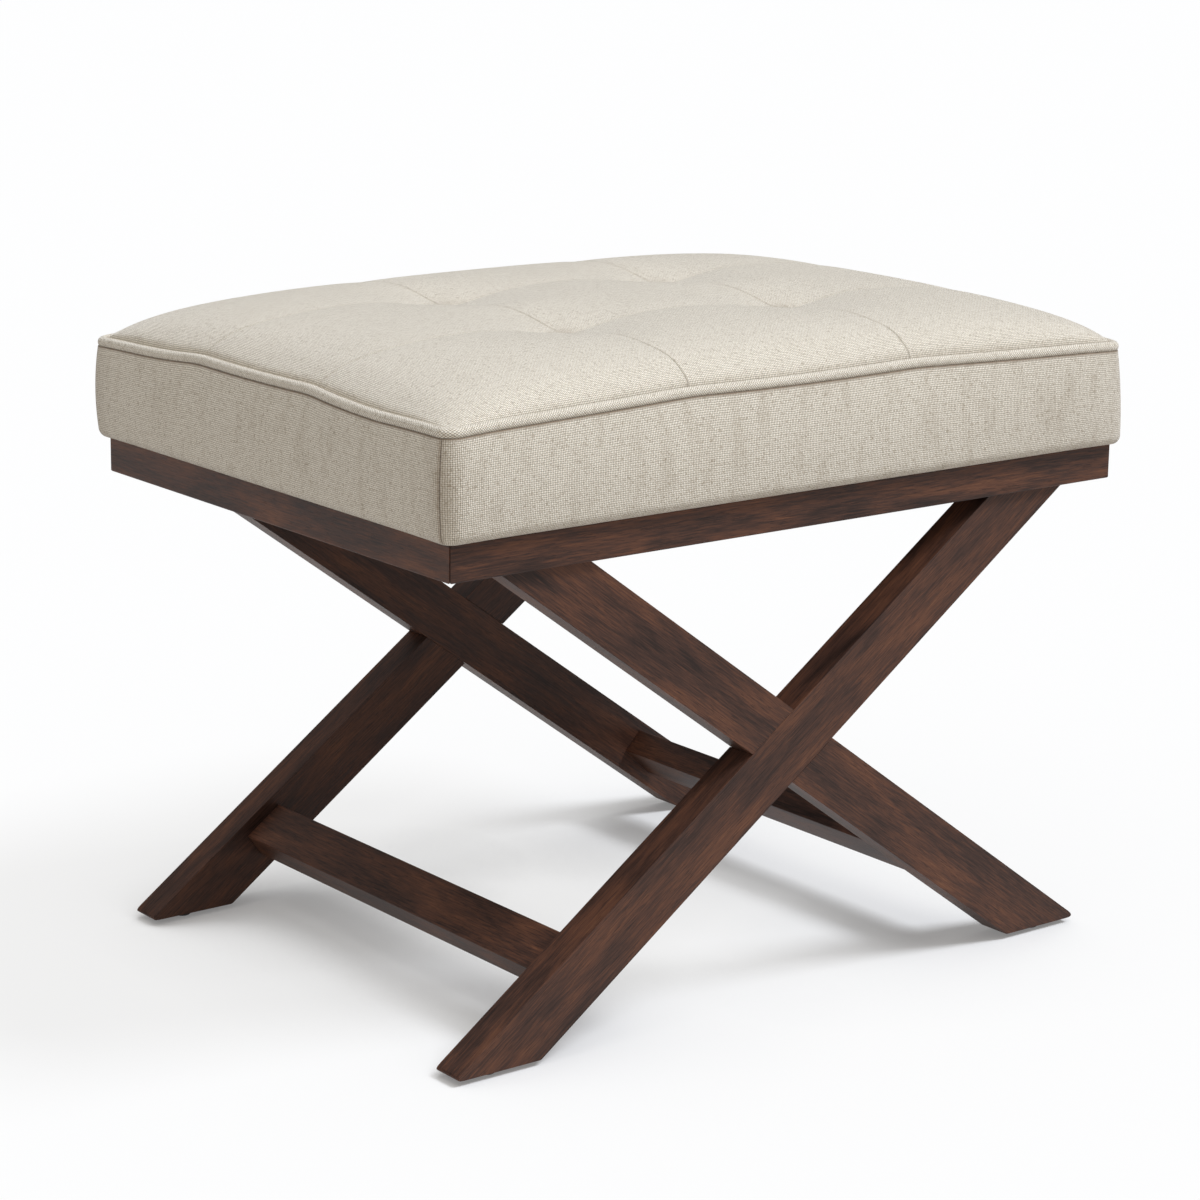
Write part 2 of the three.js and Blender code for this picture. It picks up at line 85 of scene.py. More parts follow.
# Edges of the wood that are sharper than this are eased, and those lower than the toe's height more so.
SHARP_ANGLE = math.radians(30)
TOE_HEIGHT = 12 * MM
FLOOR_HALF = 30.0
WHITE = (1.0, 1.0, 1.0, 1.0)


def linear(code):
    """A colour written as sRGB hex, as linear red, green and blue."""
    shares = [int(code[place:place + 2], 16) / 255 for place in (1, 3, 5)]
    return tuple(c / 12.92 if c <= 0.04045 else ((c + 0.055) / 1.055) ** 2.4 for c in shares)


def rgba(colour):
    """A hex colour or a linear one, as linear red, green, blue and 1."""
    return (*(linear(colour) if isinstance(colour, str) else colour), 1.0)


# Settings


def number(name, description, default, **limits):
    return FloatProperty(name=name, description=description, default=default, **limits)


def length(name, description, default):
    return number(name, description, default, unit="LENGTH", precision=4)


def angle(name, description, degrees):
    return number(name, description, math.radians(degrees), subtype="ANGLE")


def share(name, description, default):
    return number(name, description, default, subtype="FACTOR", min=0.0, max=1.0)


def colour(name, description, code):
    return FloatVectorProperty(name=name, description=description, default=linear(code), subtype="COLOR",
                               size=3, min=0.0, max=1.0)


class CushionSizes(bpy.types.PropertyGroup):
    crown_rise: length("Crown rise", "Height of the seat's middle above the welt", 0.0352)
    crown_power: number("Crown power", "How boxy the crown is", 3.95)
    crown_blend: number("Crown blend", "How soon the crown rises from the welt", 0.34)
    left_ease: length("Left ease", "How gently the crown leaves the welt on the left", 0.011)
    front_ease: length("Front ease", "How gently the crown leaves the welt in front", 0.006)
    tuft_depth: length("Tuft depth", "How far each tuft draws the top down", 0.0105)
    tuft_reach: length("Tuft reach", "Distance over which a tuft's dip fades", 0.040)
    seam_depth: length("Seam depth", "How far the seams draw the top down", 0.001)
    seam_reach: length("Seam reach", "Distance over which a seam's valley fades", 0.016)
    start_share: share("Start share", "Share of the crown that the cover settles from", 0.97)
    pressure: number("Pressure", "Pressure of the foam on the cover", 4.0)
    foam_hold: share("Foam hold", "How firmly the foam holds the cover in its shape", 0.1)
    corner_hold: share("Corner hold", "How firmly the foam's corners hold the cover", 0.7)
    seam_hold: share("Seam hold", "How firmly the sewn seams hold their line", 0.3)
    most_move: length("Most move", "Furthest that a point of the cover may settle", 0.006)
    draw_in: length("Draw in", "How far the seams pull the welt in", 0.0075)
    draw_up: length("Draw up", "How far the foam lifts the welt at the seams", 0.0045)
    long_side_fade: number("Long side fade", "How fast the pull fades to the corners", 1.3)
    short_side_fade: number("Short side fade", "How fast the pull fades to the corners", 3.0)
    side_bulge: length("Side bulge", "How far the boxing swells at mid height", 0.0024)
    corner_seam: angle("Corner seam", "How far the long strips turn round the corners", 67.3)
    corner_sag: length("Corner sag", "How far the corners of the cover hang down", 0.0013)
    left_pull: share("Left pull", "How strongly the seams pull the left side", 0.83)
    left_shift: length("Left shift", "How far back the seams run on the left side", 0.0174)
    left_sag: length("Left sag", "How far the welt hangs down on the left side", 0.0024)
    corner_tuck: length("Corner tuck", "How much less the front right corner is filled", 0.005)
    corner_radius: length("Corner radius", "Plan radius of the boxing's corners", 0.012)
    lower_radius: length("Lower edge radius", "Radius where the cloth turns under", 0.0075)
    lip_rise: length("Lip rise", "How far the strips and panels rise beside the cord", 0.0011)
    lip_roll: length("Lip roll", "Radius of the top edge of the side strips", 0.0008)
    cloth: length("Cloth thickness", "Thickness of the cloth with its backing", 0.002)
    seam_gap: length("Seam gap", "Gap between two panels at a seam", 0.0003)
    seam_roll: length("Seam roll", "Radius with which a panel rolls into its seam", 0.0008)
    # How strongly the painted shade darkens the cloth in its seams, round its tufts and under the cord.
    painted_shade_share: share("Crease share", "How much darker the cloth looks down in its creases", 0.55)


class WoodFinish(bpy.types.PropertyGroup):
    arris: length("Arris", "Radius of the eased edges", 0.0009)
    toe: length("Toe", "Radius of the edges round the feet", 0.0028)
    deep: colour("Deep stain", "Darkest streaks of the stained walnut", "#2b1d18")
    middle: colour("Middle stain", "General colour of the stained walnut", "#4b332a")
    warm: colour("Warm figure", "Warm patches of the stained walnut", "#654232")
    light: colour("Light streak", "Lightest streaks of the stained walnut", "#84583f")
    roughness: share("Roughness", "Roughness of the satin lacquer", 0.5)
    shine: share("Shine", "Strength of the lacquer's reflection", 0.28)


class LinenFinish(bpy.types.PropertyGroup):
    thread: length("Thread spacing", "Distance between two threads, coarse enough to show", 0.0014)
    warp: colour("Warp", "Colour of the light yarn", "#fffaee")
    weft: colour("Weft", "Colour of the darker yarn", "#f7efdf")
    # Painted shade in the gaps between the threads.
    gap: colour("Gap", "Colour of the shaded gaps between threads", "#7a6a53")
    slub: colour("Slub", "Colour of the dark flecks and clouds", "#ab9d88")
    # Colour of the painted shade in the seams, round the tufts, beside the corners and under the cord.
    painted_crease_shade: colour("Crease", "Colour down in the seams and tufts", "#8a7763")
    sheen: share("Sheen", "Strength of the soft shine of the fibre ends", 0.4)


class StageLook(bpy.types.PropertyGroup):
    floor: colour("Floor", "Colour of the floor and backdrop", "#c9c4be")
    key_strength: number("Key strength", "Strength of the soft key light", 2.2)
    key_angle: angle("Key angle", "Width of the key light as the stool sees it", 20)
    side_strength: number("Side strength", "Strength of the broad light from the left", 0.5)
    side_angle: angle("Side angle", "Width of the broad light as the stool sees it", 80)
    fill_strength: number("Fill strength", "Strength of the light from overhead", 0.6)
    far_paper: colour("Far paper", "How much of its shadow the floor shows far from the stool", "#7a7a7a")
    glow: number("Glow", "Light that whitens the floor where the camera sees it", 0.785)
    close_paper: colour("Close paper", "Colour of the floor close to the stool", "#f2f2f2")
    contact_reach: length("Contact reach", "Distance over which the floor shows contact shadows", 0.16)


class StoolSettings(bpy.types.PropertyGroup):
    cushion: PointerProperty(type=CushionSizes)
    wood: PointerProperty(type=WoodFinish)
    linen: PointerProperty(type=LinenFinish)
    stage: PointerProperty(type=StageLook)


def settings():
    return bpy.context.scene.stool


# Nodes and materials


def feed(node, inputs):
    """Gives inputs of a node a value, a socket, or another node's first output."""
    for name, value in inputs.items():
        if isinstance(value, bpy.types.Node):
            value = value.outputs[0]
        if isinstance(value, bpy.types.NodeSocket):
            node.id_data.links.new(value, node.inputs[name])
        else:
            node.inputs[name].default_value = value


def add_node(tree, kind, inputs=None, stops=(), **choices):
    """Adds a node with its choices, its inputs and, for a colour ramp, its stops of place and colour."""
    node = tree.nodes.new(f"ShaderNode{kind}")
    for name, value in choices.items():
        setattr(node, name, value)
    feed(node, inputs or {})
    for count, (place, value) in enumerate(stops):
        elements = node.color_ramp.elements
        element = elements[count] if count < len(elements) else elements.new(place)
        element.position = place
        element.color = rgba(value)
    return node


def surface_of(name):
    """A new material, the function that adds its nodes, and its main shader."""
    material = bpy.data.materials.new(name)
    material.use_nodes = True
    tree = material.node_tree
    return material, partial(add_node, tree), tree.nodes["Principled BSDF"]


def stained_walnut():
    """Walnut, planed, sanded, stained red-brown and lacquered: long streaks, open pores and a soft shine."""
    wood = settings().wood
    material, add, shader = surface_of("stained_satin_walnut")
    grain = add("Attribute", attribute_name="grain").outputs["Vector"]
    # Broad warm patches of figure, streaks of early and late wood about 1 mm wide, and open pores drawn
    # 0.7 mm wide so that they show. Each has its own scale per metre along, across and through the board.
    figure, streaks, pores = [
        add("TexNoise", {"Vector": add("VectorMath", {0: grain, 1: scale}, operation="MULTIPLY"),
                         "Scale": 1.0, "Detail": detail, "Roughness": 0.6, "Distortion": wander})
        for scale, detail, wander in (
            ((9, 45, 45), 2, 0.5), ((52, 950, 950), 4, 0.3), ((90, 1400, 1400), 2, 0))]
    half_streaks = add("Math", {0: streaks, 1: 0.5}, operation="MULTIPLY")
    blended = add("Math", {0: figure, 1: 0.5, 2: half_streaks}, operation="MULTIPLY_ADD")
    base = add("ValToRGB", {"Fac": blended},
               [(0.35, wood.deep), (0.465, wood.middle), (0.565, wood.warm), (0.72, wood.light)])
    open_pores = add("MapRange", {"Value": pores, "From Min": 0.44, "From Max": 0.34})
    pore_share = add("Math", {0: open_pores, 1: 0.6}, operation="MULTIPLY")
    stained = add("Mix", {0: pore_share, 6: base, 7: rgba(wood.deep)}, data_type="RGBA").outputs[2]
    rough = add("Math", {0: streaks, 1: 0.16, 2: wood.roughness - 0.08}, operation="MULTIPLY_ADD")
    height = add("Math", {0: streaks, 1: open_pores}, operation="SUBTRACT")
    relief = add("Bump", {"Height": height, "Distance": 0.08 * MM, "Strength": 0.6})
    feed(shader, {"Base Color": stained, "Roughness": rough, "IOR": 1.5,
                  "Specular IOR Level": wood.shine, "Normal": relief})
    return material


def crossed_waves(add, place, spacing):
    """Product of two waves at right angles: its hills and hollows alternate at this spacing."""
    turn = math.pi / spacing
    phase = add("VectorMath", {0: place, 1: (turn, turn, 0)}, operation="MULTIPLY")
    waves = add("SeparateXYZ", {0: add("VectorMath", {0: phase}, operation="SINE")}).outputs
    return add("Math", {0: waves["X"], 1: waves["Y"]}, operation="MULTIPLY")


def woven_linen():
    """Linen and viscose in a plain weave of two yarns: matt and heathered, with painted shade in the gaps
    between threads and in the creases.
    """
    linen = settings().linen
    material, add, shader = surface_of("woven_oatmeal_linen")
    cloth = add("Attribute", attribute_name="cloth").outputs["Vector"]
    painted_crease_shade = add("Attribute", attribute_name="painted_crease_shade").outputs["Fac"]
    # Noises per metre across and along the cloth: hand of the yarn, threads lighter and darker along their
    # length, dark flecks, and clouds that follow the warp.
    hand, warp_tone, weft_tone, fleck, cloud = [
        add("TexNoise", {"Vector": add("VectorMath", {0: cloth, 1: scale}, operation="MULTIPLY"),
                         "Scale": 1.0, "Detail": 2.0, "Roughness": 0.6})
        for scale in ((150, 150, 7), (650, 110, 7), (110, 650, 7), (380, 380, 7), (80, 22, 7))]
    # The threads are drawn 1.4 mm apart, coarser than the real ones, so that the weave shows.
    wander = 0.7 * linen.thread
    drawn = add("VectorMath", {0: hand.outputs["Color"], 1: (wander, wander, 0), 2: cloth},
                operation="MULTIPLY_ADD")
    # Above 0 the warp lies on top, below 0 the weft, and 0 is the gap between them.
    over = crossed_waves(add, drawn, linen.thread)
    shown = add("Math", {0: over, 1: 0.5, 2: 0.5}, operation="MULTIPLY_ADD")
    # Where the threads part, the gap colour paints the shade between them.
    weave = add("ValToRGB", {"Fac": shown},
                [(0.34, linen.weft), (0.485, linen.gap), (0.515, linen.gap), (0.66, linen.warp)])
    tone = add("Math", {0: warp_tone, 1: weft_tone}, operation="MINIMUM")
    # The panel's number is the third coordinate. Clouds show most on the boxing, which has the high numbers.
    panel = add("SeparateXYZ", {0: cloth}).outputs["Z"]
    cloudy = add("MapRange", {"Value": panel, "From Min": 9, "From Max": 16, "To Min": 0.03, "To Max": 0.18})
    toned, flecked, clouded = [
        add("MapRange", {"Value": value, "From Min": high, "From Max": low, "To Max": most})
        for value, high, low, most in (
            (tone, 0.46, 0.3, 0.35), (fleck, 0.45, 0.31, 0.7), (cloud, 0.5, 0.36, cloudy))]
    dark = add("Math", {0: toned, 1: flecked}, operation="MAXIMUM")
    dark = add("Math", {0: dark, 1: clouded}, operation="ADD")
    heather = add("Mix", {0: dark, 6: weave, 7: rgba(linen.slub)}, data_type="RGBA").outputs[2]
    # Painted shade in the seams, round the tufts, beside the corners and under the cord.
    with_painted_shade = add("Mix", {0: painted_crease_shade, 6: heather, 7: rgba(linen.painted_crease_shade)}, data_type="RGBA").outputs[2]
    height = add("Math", {0: over}, operation="ABSOLUTE")
    relief = add("Bump", {"Height": height, "Distance": 0.3 * MM, "Strength": 0.5})
    feed(shader, {"Base Color": with_painted_shade, "Roughness": 0.85, "IOR": 1.5, "Specular IOR Level": 0.25,
                  "Sheen Weight": linen.sheen, "Sheen Roughness": 0.5, "Normal": relief})
    return material


def speckled(name, kind, pattern, low, high, depth, finish):
    """A material with one fine pattern, scaled per metre, that gives its colour and its relief."""
    material, add, shader = surface_of(name)
    speckle = add(kind, {"Vector": add("TexCoord").outputs["Object"], **pattern})
    feed(shader, {"Base Color": add("ValToRGB", {"Fac": speckle}, [low, high]),
                  "Normal": add("Bump", {"Height": speckle, "Distance": depth}), **finish})
    return material


def turned_beech():
    """Beech dowel, turned and glued in: pale and plain, with short dark flecks 3 mm apart."""
    return speckled("turned_beech", "TexNoise", {"Scale": 300.0, "Detail": 3.0},
                    (0.35, "#b58f62"), (0.55, "#cfae80"), 0.05 * MM, {"Roughness": 0.6, "IOR": 1.5})


def moulded_nylon():
    """Black nylon, injection moulded with a fine spark-eroded skin: matt, with a faint broad shine."""
    return speckled("moulded_black_nylon", "TexNoise", {"Scale": 2500.0},
                    (0.3, "#101010"), (0.7, "#1b1b1c"), 0.03 * MM, {"Roughness": 0.5, "IOR": 1.53})


def cut_foam():
    """Polyurethane foam, cut with a wire: cream, matt and full of open cells about 1 mm wide."""
    return speckled("cut_polyurethane_foam", "TexVoronoi", {"Scale": 1000.0},
                    (0.1, "#c9bd92"), (0.6, "#eae0ba"), 0.4 * MM,
                    {"Roughness": 0.95, "IOR": 1.45, "Specular IOR Level": 0.1})


def sanded_plywood():
    """Birch plywood, sawn and sanded: pale faces, and dark and light plies 1.5 mm thick at the edges."""
    material, add, shader = surface_of("sanded_birch_plywood")
    place = add("TexCoord").outputs["Object"]
    height = add("SeparateXYZ", {0: place}).outputs["Z"]
    plies_up = add("Math", {0: height, 1: 1.5 * MM}, operation="DIVIDE")
    count = add("Math", {0: plies_up}, operation="FLOOR")
    layer = add("Math", {0: count, 1: 1.0}, operation="PINGPONG")
    stretched = add("VectorMath", {0: place, 1: (14, 320, 320)}, operation="MULTIPLY")
    grain = add("TexNoise", {"Vector": stretched, "Scale": 1.0, "Detail": 3.0})
    face = add("ValToRGB", {"Fac": grain}, [(0.35, "#bf9f72"), (0.6, "#d8bf96")])
    dark_share = add("Math", {0: layer, 1: 0.35}, operation="MULTIPLY")
    plies = add("Mix", {0: dark_share, 6: face, 7: rgba("#8a6a45")}, data_type="RGBA").outputs[2]
    feed(shader, {"Base Color": plies, "Roughness": 0.7, "IOR": 1.5,
                  "Normal": add("Bump", {"Height": grain, "Distance": 0.05 * MM})})
    return material


def zinc_plated_steel():
    """Steel screws, cold headed and zinc plated: a cool, slightly uneven metal."""
    material, add, shader = surface_of("zinc_plated_steel")
    place = add("TexCoord").outputs["Object"]
    spangle = add("TexNoise", {"Vector": place, "Scale": 900.0, "Detail": 3.0})
    feed(shader, {"Base Color": add("ValToRGB", {"Fac": spangle}, [(0.3, "#a9a69c"), (0.7, "#c6c4bc")]),
                  "Metallic": 1.0,
                  "Roughness": add("Math", {0: spangle, 1: 0.2, 2: 0.25}, operation="MULTIPLY_ADD")})
    return material


def nonwoven_cambric():
    """Spun-bonded polypropylene cloth, black, with a fine grid of weld points 2 mm apart."""
    material, add, shader = surface_of("spunbonded_cambric")
    place = add("TexCoord").outputs["Object"]
    weld = crossed_waves(add, place, 1 * MM)
    fibres = add("TexNoise", {"Vector": place, "Scale": 600.0, "Detail": 4.0, "Roughness": 0.7})
    feed(shader, {"Base Color": add("ValToRGB", {"Fac": fibres}, [(0.3, "#131314"), (0.7, "#26262a")]),
                  "Roughness": 0.8, "IOR": 1.49,
                  "Normal": add("Bump", {"Height": weld, "Distance": 0.1 * MM})})
    return material


def waxed_twine():
    """Waxed linen twine, laid from several yarns: a slanting twist 1 mm apart."""
    turn = 2 * math.pi / MM
    material, add, shader = surface_of("waxed_twine")
    place = add("TexCoord").outputs["Object"]
    slant = add("VectorMath", {0: place, 1: (turn, 0, turn)}, operation="DOT_PRODUCT").outputs["Value"]
    twist = add("Math", {0: slant}, operation="SINE")
    height = add("Math", {0: twist, 1: 0.5, 2: 0.5}, operation="MULTIPLY_ADD")
    feed(shader, {"Base Color": add("ValToRGB", {"Fac": height}, [(0.0, "#9d8f73"), (1.0, "#ddd2ba")]),
                  "Roughness": 0.6, "IOR": 1.45,
                  "Normal": add("Bump", {"Height": height, "Distance": 0.6 * MM})})
    return material


# Meshes


def placed(name, data):
    """A new object in the scene."""
    made = bpy.data.objects.new(name, data)
    bpy.context.scene.collection.objects.link(made)
    return made


def fitted(name, mesh, node):
    """A finished mesh on the stool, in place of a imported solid."""
    made = placed(name, mesh)
    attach(made, "root")
    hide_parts(node)
    return made


def piece(name, node, vertices, faces, material, slot, cloth=None, painted_crease_shade=None):
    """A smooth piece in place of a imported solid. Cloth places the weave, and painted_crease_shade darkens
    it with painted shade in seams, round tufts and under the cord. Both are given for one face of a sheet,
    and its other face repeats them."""
    mesh = bpy.data.meshes.new(name)
    mesh.from_pydata(vertices.tolist(), [], faces.tolist())
    mesh.validate()
    mesh.update()
    mesh.materials.append(material)
    mesh.shade_smooth()
    if cloth is not None:
        count = len(vertices)
        run = np.resize(cloth, 3 * count)
        shade = settings().cushion.painted_shade_share * np.resize(painted_crease_shade, count)
        mesh.attributes.new("cloth", "FLOAT_VECTOR", "POINT").data.foreach_set("vector", run)
        mesh.attributes.new("painted_crease_shade", "FLOAT", "POINT").data.foreach_set("value", shade)
    return fitted(name, mesh, node)


def near(distance, reach):
    """1 at no distance, and soon 0 beyond the reach."""
    return np.exp(-(distance / reach) ** 2)


def unit(vectors):
    return vectors / np.linalg.norm(vectors, axis=1, keepdims=True)


def grid(rows, columns):
    return np.meshgrid(rows, columns, indexing="ij")


def grid_faces(rows, columns, start=0, turned=False):
    """Quads of a grid of rows by columns points."""
    i, j = grid(np.arange(rows - 1), np.arange(columns - 1))
    corner = start + (i * columns + j).ravel()
    quads = np.stack([corner, corner + columns, corner + columns + 1, corner + 1], 1)
    return quads[:, ::-1] if turned else quads


def closed_sheet(outer, inner):
    """Vertices and faces of a closed form between two grids of points with the same layout."""
    rows, columns, _ = outer.shape
    count = rows * columns
    vertices = np.concatenate([outer.reshape(-1, 3), inner.reshape(-1, 3)])
    index = np.arange(count).reshape(rows, columns)
    rim = np.concatenate([index[:, 0], index[-1, 1:], index[-2::-1, -1], index[0, -2:0:-1]])
    following = np.roll(rim, -1)
    sides = np.stack([rim, rim + count, following + count, following], 1)
    return vertices, np.concatenate(
        [grid_faces(rows, columns), grid_faces(rows, columns, count, turned=True), sides])


def graded(start, end, step, fine):
    """Places from start to end: close at both ends, as the fine offsets say, and a step apart between."""
    fine = np.array(fine)
    first, last = start + fine[-1], end - fine[-1]
    count = max(1, round((last - first) / step))
    middle = np.linspace(first, last, count + 1)
    return np.concatenate([start + fine[:-1], middle, end - fine[-2::-1]])


# Cushion shape


def pull(along, seam, half, middle_share, fade, shift=0.0):
    """How strongly the seams pull the welt at a place along a side: 1 at the seams, 0 at the corners."""
    # The mean over a short width, because the cord bends without a kink.
    spread = (-10 * MM, -5 * MM, 0, 5 * MM, 10 * MM)
    total = 0
    for step in spread:
        place = along - shift + step
        distance = np.abs(place)
        inside = middle_share + (1 - middle_share) * np.clip(distance / seam, 0, 1) ** 2
        reach = half - seam - np.sign(place) * shift
        outside = (1 - np.clip((distance - seam) / reach, 0, 1)) ** fade
        total = total + np.where(distance < seam, inside, outside)
    return total / len(spread)


def side_pull(side, x, y):
    """The pull along a side. On the left it is weaker, and its seams run on towards the back."""
    sizes = settings().cushion
    if side in ("front", "back"):
        return pull(x, SEAM_X, HALF_LENGTH, middle_share=0.8, fade=sizes.long_side_fade)
    fade, shift = sizes.short_side_fade, sizes.left_shift
    if side == "right":
        return pull(y, SEAM_Y, HALF_DEPTH, middle_share=0.9, fade=fade)
    return sizes.left_pull * pull(y, SEAM_Y, HALF_DEPTH, middle_share=0.83, fade=fade, shift=shift)


def rounded(x, y, half_length, half_depth, radius):
    """Moves points of a rectangle into the same rectangle with round corners."""
    middle_x = np.clip(x, radius - half_length, half_length - radius)
    middle_y = np.clip(y, radius - half_depth, half_depth - radius)
    away_x, away_y = x - middle_x, y - middle_y
    square = np.maximum(np.abs(away_x), np.abs(away_y))
    circle = np.maximum(np.hypot(away_x, away_y), 1e-12)
    shrink = np.where(square > 0, square / circle, 1.0)
    return middle_x + away_x * shrink, middle_y + away_y * shrink


def crown(x, y):
    """Height of the top above the welt before the cover settles."""
    sizes = settings().cushion

    def fall(place, half, ease):
        inward = half - np.minimum(np.abs(place), half)
        eased = inward ** 2 / (inward + ease + 1e-9)
        return 1 - (1 - eased / half) ** sizes.crown_power

    # The left and front sides leave the welt more gently, and this fades towards the back and the right.
    left_ease = np.where(x < 0, sizes.left_ease * np.clip((HALF_DEPTH - y) / HALF_DEPTH, 0, 1), 0)
    front_ease = np.where(y < 0, sizes.front_ease * np.clip((HALF_LENGTH - x) / HALF_LENGTH, 0, 1), 0)
    rise = (fall(x, TOP_HALF_LENGTH, left_ease) * fall(y, TOP_HALF_DEPTH, front_ease)) ** sizes.crown_blend
    from_x, from_y = np.abs(x) - SEAM_X, np.abs(y) - SEAM_Y
    tuft = sizes.tuft_depth * near(np.hypot(from_x, from_y), sizes.tuft_reach)
    valley = sizes.seam_depth * np.maximum(near(from_x, sizes.seam_reach), near(from_y, sizes.seam_reach))
    inward = np.minimum(TOP_HALF_LENGTH - np.abs(x), TOP_HALF_DEPTH - np.abs(y))
    return rise * (sizes.crown_rise - tuft - valley) + sizes.lip_rise * near(inward, 3 * MM)


def uneven(points, hang):
    """Lets the corners and the left side hang a little, and fills the front right corner less."""
    sizes = settings().cushion
    x, y, z = np.moveaxis(points, -1, 0)
    climb = np.clip((z - CLOTH_BOTTOM) / (WELT_HEIGHT - CLOTH_BOTTOM), 0, 1)
    any_corner = near(np.hypot(HALF_LENGTH - np.abs(x), HALF_DEPTH - np.abs(y)), 30 * MM)
    front_right = near(np.hypot(HALF_LENGTH - x, HALF_DEPTH + y), 26 * MM)
    left_side = near(HALF_LENGTH + x, 45 * MM) * np.clip((y + HALF_DEPTH) / (80 * MM), 0, 1)
    drop = sizes.corner_sag * hang * any_corner + sizes.left_sag * climb * left_side
    tuck = sizes.corner_tuck * (1 - (1 - climb) ** 2) * front_right * math.sqrt(0.5)
    return points + np.stack([-tuck, tuck, -drop], -1)


def edge_share(place, half, reach):
    """1 at a side of the top and 0 a reach away from it."""
    return np.clip(1 - (half - np.abs(place)) / reach, 0, 1) ** 2


def top_surface(x, y, swell=None):
    """Points of the top of the cushion, drawn in and up at its sides where the seams pull on the welt."""
    sizes = settings().cushion
    corner = sizes.corner_radius - (HALF_LENGTH - TOP_HALF_LENGTH)
    # On the left the seams bend towards the back.
    bow = 1 - (y / TOP_HALF_DEPTH) ** 2
    bend = sizes.left_shift * edge_share(x, TOP_HALF_LENGTH, reach=0.1) * bow
    across = np.where(x < 0, y + bend, y)
    end_pull = np.where(x < 0, side_pull("left", x, across), side_pull("right", x, across))
    near_end = edge_share(x, TOP_HALF_LENGTH, reach=0.06) * end_pull
    near_face = edge_share(y, TOP_HALF_DEPTH, reach=0.06) * side_pull("front", x, y)
    plan_x, plan_y = rounded(x, across, TOP_HALF_LENGTH, TOP_HALF_DEPTH, corner)
    plan_x = plan_x - np.sign(x) * sizes.draw_in * near_end
    plan_y = plan_y - np.sign(y) * sizes.draw_in * near_face
    z = WELT_HEIGHT + crown(x, y) + sizes.draw_up * np.maximum(near_end, near_face)
    points = uneven(np.stack([plan_x, plan_y, z], -1), np.ones_like(x))
    if swell:
        points += smooth_sample(swell["top"], (x / TOP_HALF_LENGTH + 1) / 2, (y / TOP_HALF_DEPTH + 1) / 2)
    return points


def half_run(side):
    """Length of cloth from the middle of a side to its corner seam. The long strips turn further round."""
    sizes = settings().cushion
    long_side = side in ("front", "back")
    straight = (HALF_LENGTH if long_side else HALF_DEPTH) - sizes.corner_radius
    turned = sizes.corner_seam if long_side else math.pi / 2 - sizes.corner_seam
    return straight + sizes.corner_radius * turned


def outline(side, along, out):
    """Points of a side's outline, moved out. Along runs from -1 to 1 between the corner seams."""
    sizes = settings().cushion
    half, across = (HALF_LENGTH, HALF_DEPTH) if side in ("front", "back") else (HALF_DEPTH, HALF_LENGTH)
    run = np.abs(along) * half_run(side)
    straight = half - sizes.corner_radius
    turned = np.maximum(run - straight, 0) / sizes.corner_radius
    radius = np.maximum(sizes.corner_radius + out, 1 * MM)
    reach = np.minimum(run / straight, 1) * (half + out - radius) + radius * np.sin(turned)
    local_x = np.sign(along) * reach
    local_y = -(across + out - radius) - radius * np.cos(turned)
    turn = {"front": 0.0, "right": math.pi / 2, "back": math.pi, "left": -math.pi / 2}[side]
    c, s = math.cos(turn), math.sin(turn)
    return local_x * c - local_y * s, local_x * s + local_y * c


def boxing_profile():
    """Outward offset and height of a strip's outer face, from its turned-under edge to its lip, and the
    length of cloth up to there."""
    sizes = settings().cushion
    r, lip = sizes.lower_radius, sizes.lip_roll
    start = CLOTH_BOTTOM + r
    end = WELT_HEIGHT - WELT_RADIUS + sizes.lip_rise - lip
    outer = [(-TURN_UNDER, CLOTH_BOTTOM), (-TURN_UNDER / 2, CLOTH_BOTTOM), (-1.4 * r, CLOTH_BOTTOM)]
    outer += [(r * math.sin(a) - r, start - r * math.cos(a)) for a in np.linspace(0, math.pi / 2, 9)]
    outer += [(0.0, height) for height in np.linspace(start, end - 1.5 * MM, 14)[1:]]
    outer += [(0.0, end - 0.4 * MM), (0.0, end)]
    outer += [(lip * (math.cos(a) - 1), end + lip * math.sin(a)) for a in np.linspace(0, math.pi / 2, 6)[1:]]
    steps = np.hypot(*np.diff(outer, axis=0).T)
    return np.column_stack([outer, np.concatenate([[0], np.cumsum(steps)])])


def side_heights():
    """Heights between which the boxing is free to swell."""
    return CLOTH_BOTTOM + settings().cushion.lower_radius / 2, BOXING_TOP


def boxing_points(side, along, offset, height, deeper, swell=None):
    """Points of a side strip. Deeper is the distance in from its outer face."""
    sizes = settings().cushion
    x0, y0 = outline(side, along, np.zeros_like(along))
    low, high = side_heights()
    climb = np.clip((height - low) / (high - low), 0, 1)
    strength = side_pull(side, x0, y0)
    bulge = sizes.side_bulge * np.sin(math.pi * climb) ** 0.8
    out = offset + bulge - sizes.draw_in * strength * climb ** 1.4
    x, y = outline(side, along, out - deeper)
    z = height + sizes.draw_up * strength * climb
    hang = np.maximum(climb, np.clip(1 + offset / sizes.lower_radius, 0, 1))
    points = uneven(np.stack([x, y, z], -1), hang)
    if swell:
        points += smooth_sample(swell[side], (along + 1) / 2, climb)
    return points


def roll(distance, radius):
    """How far a panel's edge falls away at a distance from its seam."""
    inside = np.clip(radius - distance, 0, radius)
    return radius - np.sqrt(radius ** 2 - inside ** 2)


